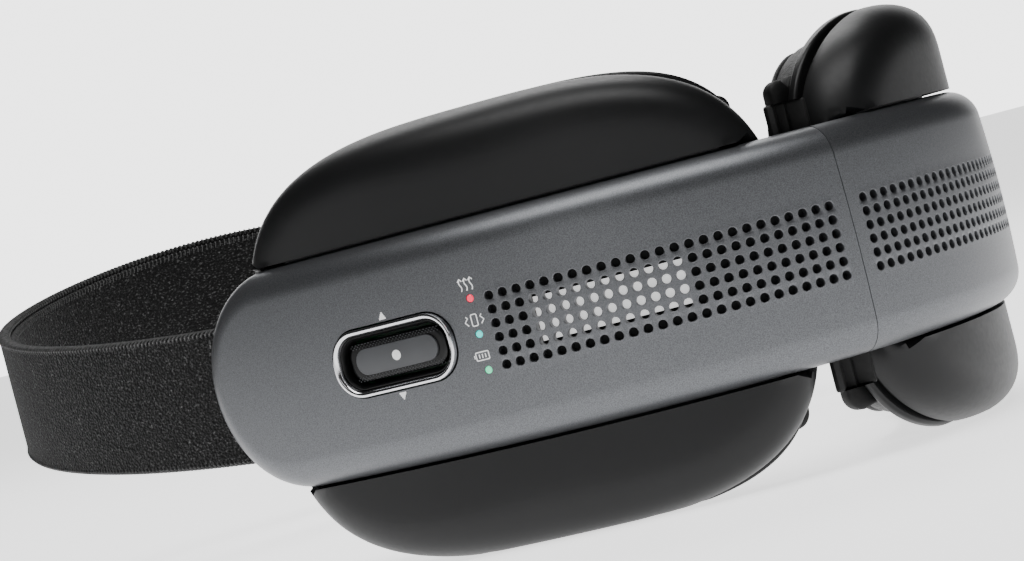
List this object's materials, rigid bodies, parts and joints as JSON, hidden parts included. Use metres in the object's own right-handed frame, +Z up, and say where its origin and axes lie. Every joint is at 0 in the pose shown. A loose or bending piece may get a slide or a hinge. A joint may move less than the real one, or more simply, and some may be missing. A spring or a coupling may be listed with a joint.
{
  "type": "eye massager mask",
  "caption": "Foldable eye massager mask with a perforated metallic front band, padded eye cups, a rocker button and an elastic head strap.",
  "frame": {"origin": "on the table under the mask, at the centre of its footprint, strap included", "axes": "+X to the wearer's left as the mask is seen from the front (viewer's right), +Y from the front band towards the back of the strap, +Z up"},
  "size_m": [0.1792, 0.264, 0.0792],
  "materials": {
    "cover_metal": "satin gunmetal paint with fine metallic grain",
    "pod_plastic": "satin charcoal",
    "frame_plastic": "satin black",
    "inner_plastic": "plain moulded",
    "soft_rubber": "matt black",
    "cushion_leather": "soft black with fine grain",
    "mesh_black": "fine dust mesh",
    "heater_film": "amber film",
    "steel": "plain",
    "brass_weight": "plain",
    "strap_elastic": "woven black elastic",
    "chrome_trim": "bright",
    "button_black": "satin black, dotted grip",
    "button_grey": "satin grey",
    "board_green": "solder mask",
    "light_guide": "frosted",
    "battery_wrap": "shrink wrap"
  },
  "bodies": {
    "left_half": {"front_cover_left": "cover_metal", "grille_mesh_left": "mesh_black", "chassis_left": "inner_plastic", "pod_shell_left": "pod_plastic", "rim_gasket_left": "soft_rubber", "cushion_frame_left": "frame_plastic", "face_cushion_left": "cushion_leather", "heat_pad_left": "heater_film", "nose_lobe_left": "soft_rubber", "hinge_leaf_left": "steel", "motor_can_left": "steel", "motor_clip_left": "inner_plastic", "strap_anchor_left": "inner_plastic", "strap_bar_left": "steel", "strap_loop_left": "strap_elastic", "screws_left": "steel", "hinge_pin": "steel", "bridge_boot": "soft_rubber", "ribbon_cable": "heater_film", "button_bezel": "chrome_trim", "button_well": "button_black", "tact_switches": "inner_plastic", "main_board": "board_green", "led_guides": "light_guide", "light_bar": "light_guide", "strap": "strap_elastic"},
    "right_half": {"front_cover_right": "cover_metal", "grille_mesh_right": "mesh_black", "chassis_right": "inner_plastic", "pod_shell_right": "pod_plastic", "rim_gasket_right": "soft_rubber", "cushion_frame_right": "frame_plastic", "face_cushion_right": "cushion_leather", "heat_pad_right": "heater_film", "nose_lobe_right": "soft_rubber", "hinge_leaf_right": "steel", "motor_can_right": "steel", "motor_clip_right": "inner_plastic", "strap_anchor_right": "inner_plastic", "strap_bar_right": "steel", "strap_loop_right": "strap_elastic", "screws_right": "steel", "battery": "battery_wrap", "usb_port": "steel"},
    "button_carrier": {"rocker_carrier": "inner_plastic", "rocker_pin": "steel"},
    "button_rocker": {"rocker_body": "button_black", "rocker_inlay": "button_grey"},
    "motor_weight_left": {"motor_weight_left": "brass_weight"},
    "motor_weight_right": {"motor_weight_right": "brass_weight"},
    "strap_slider": {"strap_slider": "frame_plastic"}
  },
  "joints": [
    {"name": "fold_hinge", "type": "hinge", "parent": "left_half", "child": "right_half", "pos_m": [0, -0.12772, 0.0392], "axis": [0, 0, 1], "range_deg": [0, 20], "deforming": ["strap", "bridge_boot", "ribbon_cable"]},
    {"name": "button_press", "type": "slide", "parent": "left_half", "child": "button_carrier", "axis": [0.8825, 0.4703, 0], "range_m": [0, 0.0005], "stiffness_N_per_m": 600, "springref_m": -0.0015},
    {"name": "rocker_tilt", "type": "hinge", "parent": "button_carrier", "child": "button_rocker", "pos_m": [-0.06481, -0.08004, 0.0391], "axis": [-0.4703, 0.8825, 0], "range_deg": [-4, 4], "stiffness_Nm_per_rad": 0.05},
    {"name": "motor_spin_left", "type": "hinge", "parent": "left_half", "child": "motor_weight_left", "pos_m": [-0.01997, -0.12109, 0.0392], "axis": [0, 0, 1], "continuous": true},
    {"name": "motor_spin_right", "type": "hinge", "parent": "right_half", "child": "motor_weight_right", "pos_m": [0.01997, -0.12109, 0.0392], "axis": [0, 0, 1], "continuous": true},
    {"name": "strap_adjust", "type": "slide", "parent": "right_half", "child": "strap_slider", "axis": [0.2107, 0.9775, 0], "range_m": [-0.012, 0.012]}
  ]
}
